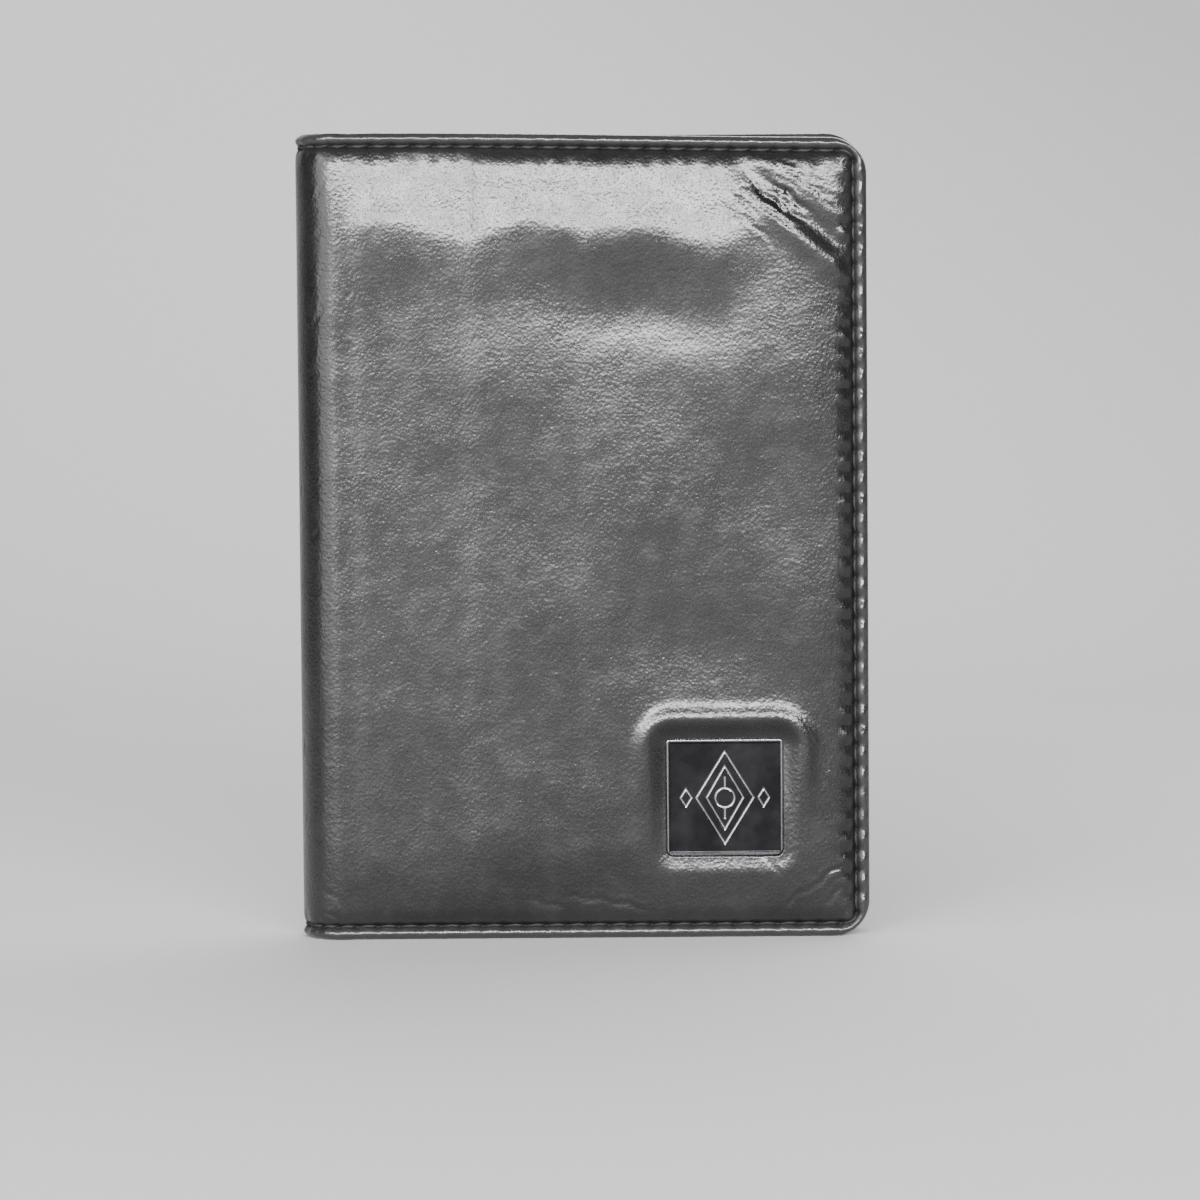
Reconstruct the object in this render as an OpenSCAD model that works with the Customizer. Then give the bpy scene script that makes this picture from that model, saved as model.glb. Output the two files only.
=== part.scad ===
// Bifold business card case in black leather, with a square metal badge.
// The closed case stands on its bottom edges. X runs from the spine (-X) to the free edge (+X),
// -Y is the front cover, +Y the back cover and +Z the height. The origin is the middle of the base.
// A "depth" is a distance from the closing plane (y = 0) outwards: a front part lies at -y and a
// back part is its mirror image at +y.

/* [Case] */
// Width of the closed case, from spine to free edge
case_w = 78; // [76:0.5:84]
// Height of the case
case_h = 110; // [108:0.5:116]
// Thickness of the closed case over its padded covers
case_t = 13; // [13:0.1:14]
// Radius of the two free corners of each cover
corner_r = 5; // [3:0.5:8]

/* [Cover leather] */
// Thickness of the outer leather
leather_t = 0.9; // [0.7:0.1:0.9]
// Thickness of the turned-in leather once pared
turn_in_t = 0.3; // [0.2:0.1:0.3]
// Width of the turn-in behind the cover
turn_in_w = 8; // [6:0.5:9]
// Width of the flat border outside the padding
border_w = 3.5; // [3:0.1:4]
// Width of the slope from the border up to the padded face
slope_w = 2; // [1:0.5:3]
// Height of the padded face above the border
crown = 1; // [0.6:0.1:1]
// Width of the rolled edge, which is solid leather
roll_w = 3; // [2.5:0.1:3]

/* [Stiffening and lining] */
// Thickness of the foam under the leather
foam_t = 0.7; // [0.4:0.1:0.7]
// Thickness of the stiffening board
board_t = 0.5; // [0.3:0.1:0.5]
// Thickness of the fabric lining
lining_t = 0.2; // [0.1:0.1:0.2]
// Thickness of the reinforcement glued inside the spine
spine_tape_t = 0.4; // [0.2:0.1:0.4]

/* [Card slots, inside the front cover] */
// Thickness of a slot's leather
slot_leather_t = 0.55; // [0.4:0.05:0.6]
// Thickness of a slot's fabric liner
slot_liner_t = 0.25; // [0.1:0.05:0.3]
// Distance from the spine's outside to the rear slot's mouth
rear_mouth = 12; // [11:0.5:14]
// Distance from the spine's outside to the middle slot's mouth
middle_mouth = 23.6; // [20:0.2:28]
// Distance from the spine's outside to the front slot's mouth
front_mouth = 39.2; // [34:0.2:44]

/* [Gusseted card pocket, inside the back cover] */
// Thickness of the slip pocket's panel
slip_panel_t = 0.6; // [0.4:0.1:0.6]
// Thickness of the card pocket's panel
pocket_panel_t = 0.6; // [0.4:0.1:0.6]
// Room for cards between the two panels
pocket_room = 4.6; // [4.4:0.1:4.6]
// Distance from the spine's outside to the card pocket's mouth
pocket_mouth = 14; // [13:0.5:18]
// Margin between the card pocket and the cover's other three edges
pocket_margin = 3.5; // [3:0.1:4.5]
// Thickness of the gusset
gusset_t = 0.4; // [0.2:0.1:0.5]
// Depth of the gusset's inward fold
gusset_fold = 4.6; // [3:0.1:4.6]
// Radius of the thumb notch in the pocket's mouth
thumb_r = 9; // [6:0.5:12]

/* [Badge] */
// Side of the square badge
badge_size = 16; // [12:0.5:18]
// Distance from the free edge to the badge's middle
badge_from_edge = 19.8; // [18:0.1:24]
// Height of the badge's middle above the base
badge_from_base = 19.3; // [19:0.1:24]
// Thickness of the badge's plate
badge_t = 0.6; // [0.4:0.1:0.6]
// Width of each prong
prong_w = 3; // [2:0.5:4]

/* [Stitching] */
// Length from one stitch to the next
stitch_pitch = 2.9; // [2.4:0.1:3.4]
// Distance from the cover's edge to the seam
stitch_inset = 1.85; // [1.6:0.05:2]
// Diameter of the thread
thread_d = 0.4; // [0.3:0.05:0.4]

/* [Hidden] */
$fn = 96;

// Depths of the layers of a cover, from the outside in
skin_out = case_t / 2;
skin_in = skin_out - leather_t;
foam_in = skin_in - foam_t;
board_in = foam_in - board_t;
turn_in_depth = board_in - turn_in_t;
lining_in = turn_in_depth - lining_t;
edge_out = skin_out - crown;
edge_in = edge_out - leather_t;

// Places along X
free_x = case_w / 2;
spine_x = -case_w / 2;
fold_x = spine_x + skin_out;   // the axis round which the spine is bent
lining_start_x = fold_x + 1.5;
board_start_x = fold_x + 1.7;

// The case opens on two folds, 45 degrees to each side of the spine's middle
hinge_angle = 45;
fold_gap_angle = 0.5;          // half the cut between a cover's leather and the spine's

// Insets from the cover's top, bottom and free edges
board_inset = border_w + 0.6;
foam_inset = border_w + slope_w + 0.1;
lining_inset = 1.2;
panel_inset = 1;
panel_corner_r = corner_r - panel_inset;
filler_gap = 0.2;

// The badge's prongs and washer
badge_x = free_x - badge_from_edge;
badge_fit = 0.2;               // play round the plate in its recess
prong_t = 0.3;
prong_gap = 10;                // distance between the two prongs
prong_fit = 0.1;
washer_size = 13;
washer_t = turn_in_t / 2;
tab_l = 2.5;                   // length of each prong's folded end

// The stitch lies in a groove in the border
groove_w = 0.8;
stitch_l = stitch_pitch - 0.6;
pocket_stitch_d = 0.3;

overcut = 1;                   // how far a cutting shape passes a face

// ---- Helpers ----

// Outline of a cover in X and Z: square at the fold, round at the free corners
module cover_outline(inset, radius, start_x = fold_x) {
    right = free_x - inset;
    top = case_h - inset;
    translate([start_x, inset]) square([right - radius - start_x, top - inset]);
    translate([start_x, inset + radius]) square([right - start_x, top - inset - 2 * radius]);
    for (z = [inset + radius, top - radius])
        translate([right - radius, z]) circle(r = radius);
}

// Stands a 2D shape of X and Z upright, filling the depths from inner to outer on the front side
module layer(inner, outer) {
    translate([0, -inner, 0]) rotate([90, 0, 0]) linear_extrude(outer - inner) children();
}

// A block with sloping top, bottom and free sides, from inset_low at depth low to inset_high at depth high
module sloped_block(low, inset_low, high, inset_high) {
    intersection() {
        translate([fold_x, 0, 0]) rotate([90, 0, 90]) linear_extrude(case_w)
            polygon([[-low, inset_low], [-high, inset_high],
                [-high, case_h - inset_high], [-low, case_h - inset_low]]);
        linear_extrude(case_h)
            polygon([[fold_x, -low], [fold_x, -high],
                [free_x - inset_high, -high], [free_x - inset_low, -low]]);
    }
}

// Cross-section of the bent leather in radius and height, with its rolled ends
module bend_profile() {
    slope_top = border_w + slope_w;
    polygon([
        [turn_in_depth, 0], [edge_out, 0], [edge_out, border_w], [skin_out, slope_top],
        [skin_out, case_h - slope_top], [edge_out, case_h - border_w], [edge_out, case_h],
        [turn_in_depth, case_h], [turn_in_depth, case_h - roll_w], [edge_in, case_h - roll_w],
        [skin_in, case_h - slope_top + 0.5], [skin_in, slope_top - 0.5],
        [edge_in, roll_w], [turn_in_depth, roll_w]
    ]);
}

// Turns a cross-section round the fold axis. Angle 180 points to -X and 270 to the front.
module bent(from, to) {
    translate([fold_x, 0, 0]) rotate_extrude(angle = to - from, start = from) children();
}

module spine_arc() {
    bent(180 - hinge_angle + fold_gap_angle, 180 + hinge_angle - fold_gap_angle) children();
}

module shoulder_arc() {
    bent(180 + hinge_angle + fold_gap_angle, 270) children();
}

// Square section of the seam's groove on the bend
module groove_profile() {
    for (z = [stitch_inset, case_h - stitch_inset])
        translate([edge_out - thread_d, z - groove_w / 2]) square([thread_d + overcut, groove_w]);
}

// One stitch that lies along X
module stitch(length, diameter) {
    translate([-length / 2, 0, 0]) rotate([0, 90, 0]) cylinder(h = length, d = diameter);
}

// ---- Covers, shared by the front and the back ----

module cover_leather() {
    difference() {
        union() {
            layer(turn_in_depth, edge_out) cover_outline(0, corner_r);
            sloped_block(edge_out, border_w, skin_out, border_w + slope_w);
            shoulder_arc() bend_profile();
        }
        sloped_block(edge_in, roll_w, skin_in, roll_w + slope_w);
        layer(board_in, edge_in) cover_outline(roll_w, corner_r - roll_w);
        layer(turn_in_depth - overcut, board_in) cover_outline(turn_in_w, 1, fold_x - overcut);
        layer(edge_out - thread_d, edge_out + overcut) difference() {
            cover_outline(stitch_inset - groove_w / 2, corner_r - stitch_inset);
            cover_outline(stitch_inset + groove_w / 2, 1, fold_x - overcut);
        }
        shoulder_arc() groove_profile();
    }
}

module cover_foam() {
    layer(foam_in, skin_in) cover_outline(foam_inset, 1, board_start_x);
}

module cover_board() {
    layer(board_in, foam_in) cover_outline(board_inset, 1, board_start_x);
}

// Fabric over the turn-in, with the filler that levels the space inside it and the part over the fold
module cover_lining() {
    slope_top = border_w + slope_w;
    bend_out = skin_in - spine_tape_t;
    bend_in = bend_out - lining_t;
    layer(lining_in, turn_in_depth) cover_outline(lining_inset, corner_r - lining_inset, lining_start_x);
    layer(turn_in_depth, board_in) cover_outline(turn_in_w + filler_gap, 1, lining_start_x);
    shoulder_arc() translate([bend_in, slope_top]) square([lining_t, case_h - 2 * slope_top]);
    translate([0, 0, slope_top]) linear_extrude(case_h - 2 * slope_top)
        polygon([[fold_x, -bend_out], [lining_start_x - 0.3, -turn_in_depth],
            [lining_start_x, -turn_in_depth], [lining_start_x, -lining_in],
            [lining_start_x - 0.5, -lining_in], [fold_x, -bend_in]]);
}

// Stitches of one cover's seam, in the groove along its top, free and bottom edges
module cover_stitching() {
    depth = edge_out - thread_d / 2;
    seam_x = free_x - stitch_inset;
    runs_along = floor((seam_x - fold_x - 1) / stitch_pitch);
    runs_up = floor((case_h - 2 * stitch_inset - 3) / stitch_pitch);
    for (i = [0 : runs_along - 1], z = [stitch_inset, case_h - stitch_inset])
        translate([fold_x + (i + 0.5) * stitch_pitch, -depth, z]) stitch(stitch_l, thread_d);
    for (i = [0 : runs_up - 1])
        translate([seam_x, -depth, case_h / 2 + (i - (runs_up - 1) / 2) * stitch_pitch])
            rotate([0, 90, 0]) stitch(stitch_l, thread_d);
}

// ---- Back cover ----

module back_cover_leather() {
    color("#1b1b1d") mirror([0, 1, 0]) cover_leather();
}

module back_cover_foam() {
    color("#d9d6cc") mirror([0, 1, 0]) cover_foam();
}

module back_cover_board() {
    color("#8d7a5f") mirror([0, 1, 0]) cover_board();
}

module back_lining() {
    color("#202024") mirror([0, 1, 0]) cover_lining();
}

module back_stitching() {
    color("#0e0e10") mirror([0, 1, 0]) cover_stitching();
}

slip_panel_in = lining_in - slip_panel_t;
slip_mouth_x = spine_x + rear_mouth;

module slip_pocket_panel() {
    color("#19191b") mirror([0, 1, 0])
        layer(slip_panel_in, lining_in) cover_outline(panel_inset, panel_corner_r, slip_mouth_x);
}

// The card pocket stands off the slip pocket's panel by pocket_room
pocket_face = slip_panel_in - pocket_room;
pocket_mouth_x = spine_x + pocket_mouth;
pocket_end_x = free_x - pocket_margin;
fold_flat = 0.6;               // width of the flat at the tip of the gusset's fold

module card_pocket_panel() {
    color("#19191b") mirror([0, 1, 0]) layer(pocket_face - pocket_panel_t, pocket_face) difference() {
        cover_outline(pocket_margin, 3, pocket_mouth_x);
        translate([pocket_mouth_x, case_h / 2]) circle(r = thumb_r);
    }
}

// Cross-section of the folded gusset in y and distance from the pocket's edge: a V that points into the pocket
module gusset_section() {
    low = pocket_face;
    high = slip_panel_in;
    middle = (low + high) / 2;
    polygon([
        [low, 0], [low, gusset_t], [middle - fold_flat / 2, gusset_fold],
        [middle + fold_flat / 2, gusset_fold], [high, gusset_t], [high, 0],
        [high - gusset_t, 0], [middle + 0.1, gusset_fold - gusset_t],
        [middle - 0.1, gusset_fold - gusset_t], [low + gusset_t, 0]
    ]);
}

module card_pocket_gusset_bottom() {
    color("#161618") translate([pocket_mouth_x, 0, pocket_margin])
        rotate([90, 0, 90]) linear_extrude(pocket_end_x - pocket_mouth_x) gusset_section();
}

module card_pocket_gusset_top() {
    color("#161618") translate([0, 0, case_h]) mirror([0, 0, 1]) card_pocket_gusset_bottom();
}

module card_pocket_gusset_side() {
    run = pocket_margin + gusset_fold + 0.2;
    color("#161618") translate([pocket_end_x, 0, run])
        rotate([0, 0, 90]) linear_extrude(case_h - 2 * run) gusset_section();
}

// Seam round the card pocket's three closed sides
module card_pocket_stitching() {
    y = pocket_face - pocket_panel_t - pocket_stitch_d / 2;
    low = pocket_margin + 1.2;
    seam_x = pocket_end_x - 1.2;
    runs_along = floor((seam_x - pocket_mouth_x - 1) / stitch_pitch);
    runs_up = floor((case_h - 2 * low - 3) / stitch_pitch);
    color("#0e0e10") {
        for (i = [0 : runs_along - 1], z = [low, case_h - low])
            translate([pocket_mouth_x + 1 + (i + 0.5) * stitch_pitch, y, z]) stitch(stitch_l, pocket_stitch_d);
        for (i = [0 : runs_up - 1])
            translate([seam_x, y, case_h / 2 + (i - (runs_up - 1) / 2) * stitch_pitch])
                rotate([0, 90, 0]) stitch(stitch_l, pocket_stitch_d);
    }
}

// ---- Spine ----

module spine_leather() {
    color("#1b1b1d") difference() {
        spine_arc() bend_profile();
        spine_arc() groove_profile();
    }
}

module spine_layer(inner, outer) {
    slope_top = border_w + slope_w;
    spine_arc() translate([inner, slope_top]) square([outer - inner, case_h - 2 * slope_top]);
}

module spine_reinforcement() {
    color("#5a5148") spine_layer(skin_in - spine_tape_t, skin_in);
}

module spine_lining() {
    color("#202024") spine_layer(skin_in - spine_tape_t - lining_t, skin_in - spine_tape_t);
}

module spine_stitching() {
    r = edge_out - thread_d / 2;
    stitch_angle = stitch_pitch / r * 180 / PI;
    color("#0e0e10") for (i = [-1, 0, 1], z = [stitch_inset, case_h - stitch_inset])
        translate([fold_x, 0, z]) rotate([0, 0, 180 + i * stitch_angle * 0.9])
            translate([r - 0.12, 0, 0]) rotate([0, 0, 90]) stitch(stitch_l * 0.8, thread_d * 0.6);
}

// ---- Front cover ----

// Where the badge's two prongs go through the cover
module at_prongs() {
    for (side = [-1, 1])
        translate([badge_x + side * prong_gap / 2, 0, badge_from_base]) children();
}

// A square round the badge's middle, in X and Z
module badge_square(size) {
    translate([badge_x, badge_from_base]) square(size, center = true);
}

module prong_holes() {
    at_prongs() translate([0, -skin_out, 0])
        cube([prong_t + 2 * prong_fit, 2 * (skin_out - turn_in_depth) - 0.01, prong_w + 2 * prong_fit],
            center = true);
}

module front_cover_leather() {
    color("#1b1b1d") difference() {
        cover_leather();
        layer(skin_out - badge_t, skin_out + overcut) badge_square(badge_size + badge_fit);
        prong_holes();
    }
}

module front_cover_foam() {
    color("#d9d6cc") difference() {
        cover_foam();
        prong_holes();
    }
}

module front_cover_board() {
    color("#8d7a5f") difference() {
        cover_board();
        prong_holes();
    }
}

module front_lining() {
    color("#202024") difference() {
        cover_lining();
        layer(turn_in_depth, board_in + overcut) badge_square(washer_size + 2 * badge_fit);
    }
}

module front_stitching() {
    color("#0e0e10") cover_stitching();
}

rear_mouth_x = spine_x + rear_mouth;
middle_mouth_x = spine_x + middle_mouth;
front_mouth_x = spine_x + front_mouth;
strip_gap = 0.1;               // between a strip's hidden edge and the next slot's mouth
middle_slot_out = lining_in - slot_liner_t;
front_slot_out = middle_slot_out - slot_liner_t;

// A strip of slot leather from one slot's mouth to the next
module slot_strip(outer, start_x, end_x) {
    layer(outer - slot_leather_t, outer)
        translate([start_x, panel_inset]) square([end_x - start_x, case_h - 2 * panel_inset]);
}

module rear_slot_strip() {
    color("#19191b") slot_strip(lining_in, rear_mouth_x, middle_mouth_x - strip_gap);
}

module rear_slot_liner() {
    color("#232327") layer(middle_slot_out, lining_in)
        cover_outline(panel_inset, panel_corner_r, middle_mouth_x - strip_gap);
}

module middle_slot_strip() {
    color("#19191b") slot_strip(middle_slot_out, middle_mouth_x, front_mouth_x - strip_gap);
}

module middle_slot_liner() {
    color("#232327") layer(front_slot_out, middle_slot_out)
        cover_outline(panel_inset, panel_corner_r, front_mouth_x - strip_gap);
}

module front_slot_panel() {
    color("#19191b") layer(front_slot_out - slot_leather_t, front_slot_out)
        cover_outline(panel_inset, panel_corner_r, front_mouth_x);
}

// Square plate with two prongs that pass through the cover and fold over the washer
module badge_plate() {
    prong_end = turn_in_depth;
    color("#3a3a3d") {
        layer(skin_out - badge_t, skin_out) badge_square(badge_size);
        for (side = [-1, 1]) translate([badge_x + side * prong_gap / 2, 0, badge_from_base - prong_w / 2]) {
            translate([-prong_t / 2, -skin_out + badge_t, 0])
                cube([prong_t, skin_out - badge_t - prong_end, prong_w]);
            translate([side > 0 ? -tab_l : 0, -prong_end - washer_t, 0]) cube([tab_l, washer_t, prong_w]);
        }
    }
}

module badge_washer() {
    color("#9a9a9d") layer(board_in - washer_t, board_in) difference() {
        badge_square(washer_size);
        for (side = [-1, 1]) translate([badge_x + side * prong_gap / 2, badge_from_base])
            square([prong_t + 2 * prong_fit, prong_w + 2 * prong_fit], center = true);
    }
}

back_cover_leather();
back_cover_foam();
back_cover_board();
back_lining();
back_stitching();
slip_pocket_panel();
card_pocket_panel();
card_pocket_gusset_top();
card_pocket_gusset_bottom();
card_pocket_gusset_side();
card_pocket_stitching();
spine_leather();
spine_reinforcement();
spine_lining();
spine_stitching();
front_cover_leather();
front_cover_foam();
front_cover_board();
front_lining();
front_stitching();
rear_slot_strip();
rear_slot_liner();
middle_slot_strip();
middle_slot_liner();
front_slot_panel();
badge_plate();
badge_washer();
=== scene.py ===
"""Looks of the business card case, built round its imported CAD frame.

Sizes are in millimetres up to the point where a mesh is made, and meshes are in metres.
+Z is up and -Y is out of the front cover. The skin of each cover is drawn on a sheet with two
coordinates: s runs from the middle of the spine round the bend to the free edge, and z up the case.
A depth is measured inwards from the CAD's outermost surface.
"""

import math

import bmesh
import bpy
import numpy as np
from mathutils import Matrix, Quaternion, Vector


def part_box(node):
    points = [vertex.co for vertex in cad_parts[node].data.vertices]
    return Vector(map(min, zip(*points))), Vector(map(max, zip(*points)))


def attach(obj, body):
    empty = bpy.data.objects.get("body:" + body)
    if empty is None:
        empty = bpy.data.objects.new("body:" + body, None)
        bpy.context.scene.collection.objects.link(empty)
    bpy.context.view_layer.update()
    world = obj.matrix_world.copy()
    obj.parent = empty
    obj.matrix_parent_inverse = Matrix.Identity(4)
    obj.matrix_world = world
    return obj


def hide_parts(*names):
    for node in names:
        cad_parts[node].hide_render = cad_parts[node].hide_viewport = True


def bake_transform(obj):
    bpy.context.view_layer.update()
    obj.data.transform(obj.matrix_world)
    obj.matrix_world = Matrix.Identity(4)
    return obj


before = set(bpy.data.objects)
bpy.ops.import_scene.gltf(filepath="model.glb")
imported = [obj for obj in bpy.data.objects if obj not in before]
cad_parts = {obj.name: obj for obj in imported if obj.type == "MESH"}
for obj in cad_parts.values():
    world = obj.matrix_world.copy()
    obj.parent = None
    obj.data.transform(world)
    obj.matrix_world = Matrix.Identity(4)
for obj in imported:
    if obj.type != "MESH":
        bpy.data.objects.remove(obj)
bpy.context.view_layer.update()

MM = 0.001
SHARP = math.radians(62)             # angle between two faces from which their edge is sharp
FRONT, BACK = -1, 1                  # a cover's side of the closing plane, and the sign of its y
SIDE_NAMES = {FRONT: "front", BACK: "back"}

# ---- The frame's dimensions ----

spine_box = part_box("spine_leather")
cover_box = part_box("back_cover_leather")
SKIN = cover_box[1].y / MM           # distance from the closing plane to the CAD's outer surface
SPINE_X = spine_box[0].x / MM
FREE_X = cover_box[1].x / MM
HEIGHT = cover_box[1].z / MM
FOLD_X = SPINE_X + SKIN              # axis that the spine is bent round
BEND = SKIN * math.pi / 2            # length of skin from the spine's middle to the flat cover
LENGTH = BEND + FREE_X - FOLD_X      # length of skin from the spine's middle to the free edge


def cad_box(node):
    """A node's lowest and highest corner in millimetres."""
    low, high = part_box(node)
    return low / MM, high / MM


def sheet_s(x):
    """Sheet coordinate of a place on the flat part of a cover."""
    return BEND + x - FOLD_X


# ---- Looks of the covers, in millimetres ----

CORNER_R = 5.0
EDGE_DEPTH = 1.15                    # depth of the border outside the seam
EDGE_THICK = 1.3                     # thickness of the rolled edge
ROLL_R = 0.65
PAD_DEPTH = -0.5                     # depth of the padded face
STEP_RISE = 0.55                     # how far the face rises right inside the seam
SEAM_INSET = 1.85
SEAM_CORNER_R = 1.4
STITCH_PITCH = 2.88
THREAD_R = 0.23
SPINE_THICK = 0.75                   # thickness of the turned edge round the spine
SPINE_LIFT = 0.75                    # how much nearer the surface the border is there
LINING_THICK = 0.15
LINING_INSET = 1.2                   # margin of the lining inside the sewn edges
GUSSET_HALF_T = 0.16
NOTCH_HALF = 9.5                     # half the width of the thumb notch
CARD_HEIGHT = 85.6                   # long side of a bank card
BUSINESS_CARD_HEIGHT = 90.0          # long side of a business card
TOP_DROP = 1.15                      # how far the front cover's top edge has sunk at its free end
EDGE_WEAR_AND_RIM_HIGHLIGHT_WIDTH = 3.0                     # how far the edge attribute reaches inwards: rubbed edges on the leather, the painted rim highlight on the badge
CLOSEST = 0.045                      # least distance between two lines of a sheet's grid

badge_low, badge_high = cad_box("badge_plate")
BADGE_X = (badge_low.x + badge_high.x) / 2
BADGE_Z = (badge_low.z + badge_high.z) / 2
BADGE_HALF = (badge_high.x - badge_low.x) / 2
BADGE_S = sheet_s(BADGE_X)
BADGE_TOP = 0.25                     # depth of the plate's face


# ---- Small mathematical helpers ----

def smooth(value, start, end):
    """0 before start, 1 after end, and a smooth step between them."""
    t = np.clip((value - start) / (end - start), 0, 1)
    return t * t * (3 - 2 * t)


def hill(value, centre, width):
    """1 at the centre, falling off smoothly on both sides."""
    return np.exp(-(((value - centre) / width) ** 2))


def dome(value, width):
    """Rises steeply from 0 and levels off at 1 when value reaches width."""
    return np.sin(np.clip(value / width, 0, 1) * math.pi / 2)


class Waves:
    """Smooth seeded unevenness: a sum of plane waves of about one length."""

    def __init__(self, seed, length, count=14):
        rng = np.random.default_rng(seed)
        angle = rng.uniform(0, 2 * math.pi, count)
        k = 2 * math.pi / (length * rng.uniform(0.7, 1.5, count))
        self.kx, self.kz = k * np.cos(angle), k * np.sin(angle)
        self.phase = rng.uniform(0, 2 * math.pi, count)
        self.scale = 1 / math.sqrt(count / 2)

    def __call__(self, x, z):
        total = 0
        for kx, kz, phase in zip(self.kx, self.kz, self.phase):
            total = total + np.sin(kx * x + kz * z + phase)
        return total * self.scale


def rounded_inset(x, z, half_w, half_h, radius):
    """Distance inside a rounded rectangle centred on 0, 0: negative outside it."""
    qx = np.abs(x) - half_w + radius
    qz = np.abs(z) - half_h + radius
    outside = np.hypot(np.maximum(qx, 0), np.maximum(qz, 0))
    return radius - outside - np.minimum(np.maximum(qx, qz), 0)


# ---- From the sheet to the case ----

def place(side, s, z, depth):
    """The point in the row frame, in millimetres, of a sheet point at a depth."""
    radius = SKIN - depth
    angle = np.clip(s, 0, BEND) / SKIN
    flat = np.maximum(s - BEND, 0)
    x = FOLD_X - radius * np.cos(angle) + flat
    y = side * radius * np.sin(angle)
    if side == FRONT:
        z = z - TOP_DROP * smooth(flat, 0, LENGTH) * smooth(z, 0.5 * HEIGHT, HEIGHT)
    return np.stack([x, y, z + 0 * x], -1)


def add_object(name, data):
    """A new object in the scene."""
    obj = bpy.data.objects.new(name, data)
    bpy.context.scene.collection.objects.link(obj)
    return obj


def new_object(name, points, faces):
    """A mesh object from points in millimetres."""
    mesh = bpy.data.meshes.new(name)
    mesh.from_pydata((np.asarray(points) * MM).tolist(), [], faces)
    mesh.update()
    return add_object(name, mesh)


def clean(obj, weld=0.002):
    """Welds points closer than weld, turns the faces outwards and keeps only real edges sharp."""
    bm = bmesh.new()
    bm.from_mesh(obj.data)
    bmesh.ops.remove_doubles(bm, verts=bm.verts, dist=weld * MM)
    bmesh.ops.dissolve_degenerate(bm, edges=bm.edges, dist=weld * MM / 4)
    bmesh.ops.recalc_face_normals(bm, faces=bm.faces)
    for face in bm.faces:
        face.smooth = True
    for edge in bm.edges:
        edge.smooth = edge.calc_face_angle(0) < SHARP
    bm.to_mesh(obj.data)
    bm.free()
    obj.data.update()


def roll(radius, thickness, depth, turn, end, steps=8):
    """The rolled edge of a sheet: rows of path position, inset and depth.

    It starts at inset radius on the face at depth, goes round the edge, and runs back on the
    other face to inset end. turn is 1 where the other face is deeper and -1 where it is shallower.
    """
    angle = np.linspace(0, math.pi, steps + 1)
    position = radius * (1 - angle)
    inset = radius * (1 - np.sin(angle))
    depths = depth + turn * thickness / 2 * (1 - np.cos(angle))
    position = np.append(position, position[-1] - (end - radius))
    return np.stack([position, np.append(inset, end), np.append(depths, depths[-1])])


def lines(low, high, rim, fine, step, fine_width, extra=(), open_low=False):
    """Grid lines from one edge to the other, close together near the edges and at extra places."""
    near = np.arange(rim[0], fine_width, fine)
    first = low if open_low else low + fine_width
    middle = np.linspace(first, high - fine_width, max(2, int((high - fine_width - first) / step) + 1))
    parts = [middle, high - near, high - rim[1:]]
    if not open_low:
        parts += [low + near, low + rim[1:]]
    kept = []
    wanted = [(v, 0) for v in extra] + [(v, 1) for part in parts for v in part]
    for value, rank in sorted(wanted, key=lambda w: (w[0], w[1])):
        if kept and value - kept[-1][0] < CLOSEST:
            if rank < kept[-1][1]:
                kept[-1] = (value, rank)
            continue
        kept.append((value, rank))
    return np.array([v for v, _ in kept])


def ring_map(a, b, left, right, low, high, radius, rim, open_left):
    """Where the nominal grid point a, b falls, with its path position and its inset.

    Grid lines past an edge follow the roll. Near a round corner the square grid is bent
    into arcs, so that every ring keeps its inset.
    """
    mid_b = (low + high) / 2
    to_left = np.full_like(a, 1e6) if open_left else a - left
    at_right = (right - a) < to_left
    ta = np.where(at_right, right - a, to_left)
    tb = np.minimum(b - low, high - b)
    t = np.minimum(ta, tb)
    order = np.argsort(rim[0])
    inset = np.where(t < rim[0][0], np.interp(t, rim[0][order], rim[1][order]), t)
    radii = np.where(at_right, radius[1], radius[0])
    qa, qb = radii - ta, radii - tb
    big = np.maximum(np.maximum(qa, qb), 1e-9)
    ratio = np.minimum(qa, qb) / big
    angle = np.where(qa >= qb, math.pi / 4 * ratio, math.pi / 2 - math.pi / 4 * ratio)
    corner = (qa > 0) & (qb > 0)
    arc = np.maximum(radii - inset, 0)
    past = np.maximum(inset - radii, 0)
    side_a = np.where(at_right, 1, -1)
    side_b = np.where(b > mid_b, 1, -1)
    edge_a = np.where(at_right, right, left)
    edge_b = np.where(b > mid_b, high, low)
    u = np.where(corner, edge_a - side_a * (radii - arc * np.cos(angle) + past), 0)
    v = np.where(corner, edge_b - side_b * (radii - arc * np.sin(angle) + past), 0)
    left_stop = left if open_left else left + inset
    u_plain = np.where(ta <= tb, edge_a - side_a * inset, np.clip(a, left_stop, right - inset))
    v_plain = np.where(ta <= tb, np.clip(b, low + inset, high - inset), edge_b - side_b * inset)
    return np.where(corner, u, u_plain), np.where(corner, v, v_plain), t, inset


def quads(index):
    """The faces of a grid of points."""
    grid = np.stack([index[:-1, :-1], index[1:, :-1], index[1:, 1:], index[:-1, 1:]], -1)
    return grid.reshape(-1, 4).tolist()


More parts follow.
